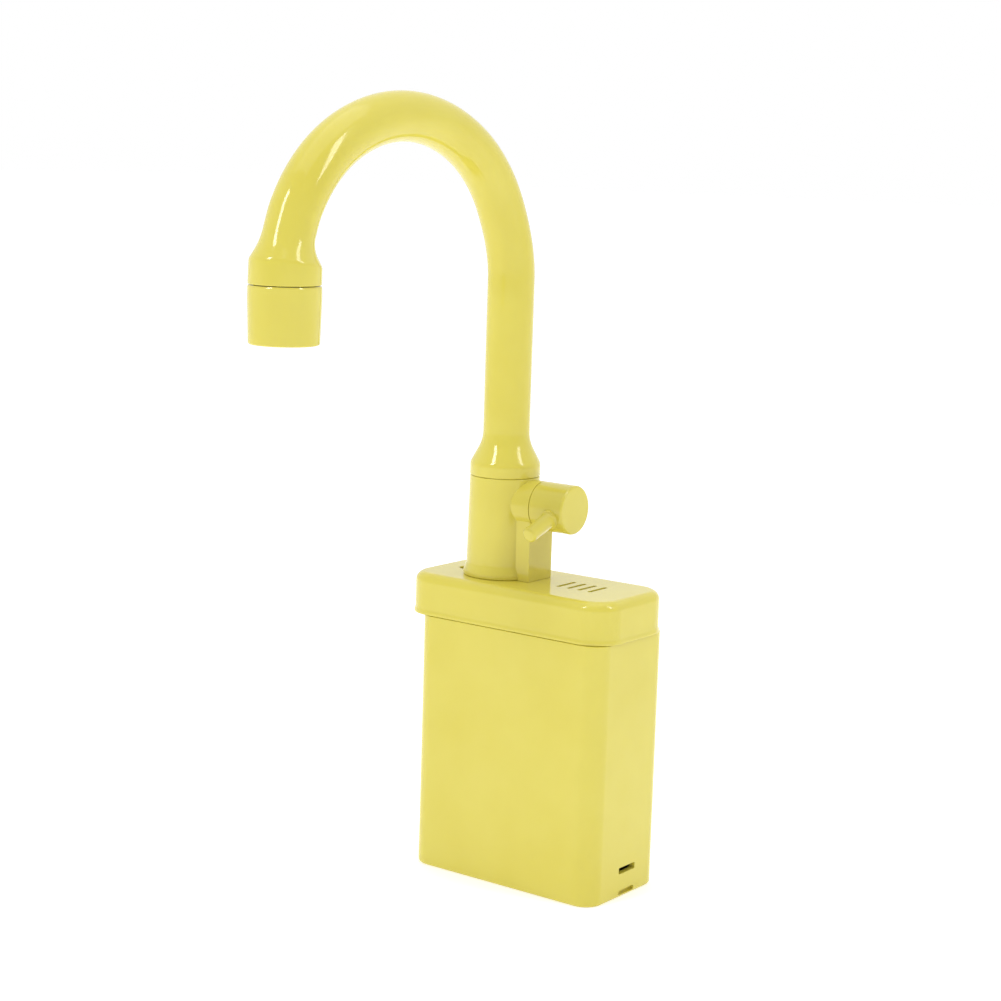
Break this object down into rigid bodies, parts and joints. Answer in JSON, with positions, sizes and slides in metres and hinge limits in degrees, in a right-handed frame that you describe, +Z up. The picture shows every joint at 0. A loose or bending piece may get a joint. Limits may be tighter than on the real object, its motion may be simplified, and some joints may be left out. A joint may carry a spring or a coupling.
{
  "type": "pump tap",
  "caption": "Gooseneck spout and side lever on a lidded pump box; the spout swivels, and lifting the lever presses a switch that runs a small battery pump.",
  "frame": {"origin": "centre of the pump box's flat underside", "axes": "+X along the box towards the lever end, -Y the way the spout points (the user's side), +Z up"},
  "size_m": [0.0797, 0.136, 0.2495],
  "materials": {
    "yellow_moulding": "glossy pale yellow injection moulding",
    "grey_moulding": "satin grey moulding",
    "black_rubber": "matt rubber",
    "clear_hose": "milky silicone",
    "plated_steel": "bright zinc plate",
    "ferrite": "dull ceramic magnet",
    "switch_case": "black switch moulding",
    "cell_can": "plain metal can",
    "copper_winding": "enamelled copper",
    "wire_cover": "red insulation"
  },
  "bodies": {
    "pump_box": {"box_shell": "yellow_moulding", "lid": "yellow_moulding", "lid_gasket": "clear_hose", "lid_screw": "plated_steel", "battery_case": "grey_moulding", "battery_cover": "grey_moulding", "cell_1": "cell_can", "cell_2": "cell_can", "cell_3": "cell_can", "cell_4": "cell_can", "contact_low_1": "plated_steel", "contact_low_2": "plated_steel", "contact_link": "plated_steel", "contact_end_1": "plated_steel", "contact_end_2": "plated_steel", "pump_base": "grey_moulding", "pump_volute": "grey_moulding", "inlet_strainer": "plated_steel", "motor_sleeve": "grey_moulding", "motor_can": "plated_steel", "motor_end_cap": "grey_moulding", "sleeve_cap": "grey_moulding", "magnet_1": "ferrite", "magnet_2": "ferrite", "shaft_seal": "black_rubber", "delivery_hose": "clear_hose", "column": "yellow_moulding", "column_nut": "grey_moulding", "feed_nipple": "grey_moulding", "nipple_seal": "black_rubber", "switch_body": "switch_case", "lead_battery_switch": "wire_cover", "lead_motor_switch": "wire_cover", "lead_battery_motor": "wire_cover"},
    "rotor": {"rotor_shaft": "plated_steel", "rotor_core": "copper_winding", "impeller": "grey_moulding"},
    "lever": {"lever_knob": "yellow_moulding", "lever_hub": "grey_moulding", "lever_rod": "yellow_moulding", "lever_shaft": "plated_steel", "lever_cam": "grey_moulding"},
    "plunger": {"switch_plunger": "switch_case"},
    "spout": {"spout_tube": "yellow_moulding", "spout_bush": "grey_moulding", "spout_seal": "black_rubber", "nozzle_cap": "yellow_moulding", "nozzle_sleeve": "grey_moulding", "nozzle_seal": "black_rubber", "flow_screen": "grey_moulding"}
  },
  "joints": [
    {"name": "spout_swivel", "type": "hinge", "parent": "pump_box", "child": "spout", "pos_m": [-0.0164, 0, 0.13], "axis": [0, 0, 1], "continuous": true},
    {"name": "lever_turn", "type": "hinge", "parent": "pump_box", "child": "lever", "pos_m": [0, 0, 0.1214], "axis": [-1, 0, 0], "range_deg": [0, 75]},
    {"name": "plunger_slide", "type": "slide", "parent": "pump_box", "child": "plunger", "axis": [0, 0, -1], "range_m": [0, 0.00122]},
    {"name": "rotor_spin", "type": "hinge", "parent": "pump_box", "child": "rotor", "pos_m": [0.017, 0, 0.012], "axis": [0, 0, 1], "continuous": true}
  ],
  "couplings": [
    {"joint": "plunger_slide", "follows": "lever_turn", "m_per_rad": 0.00093012}
  ]
}
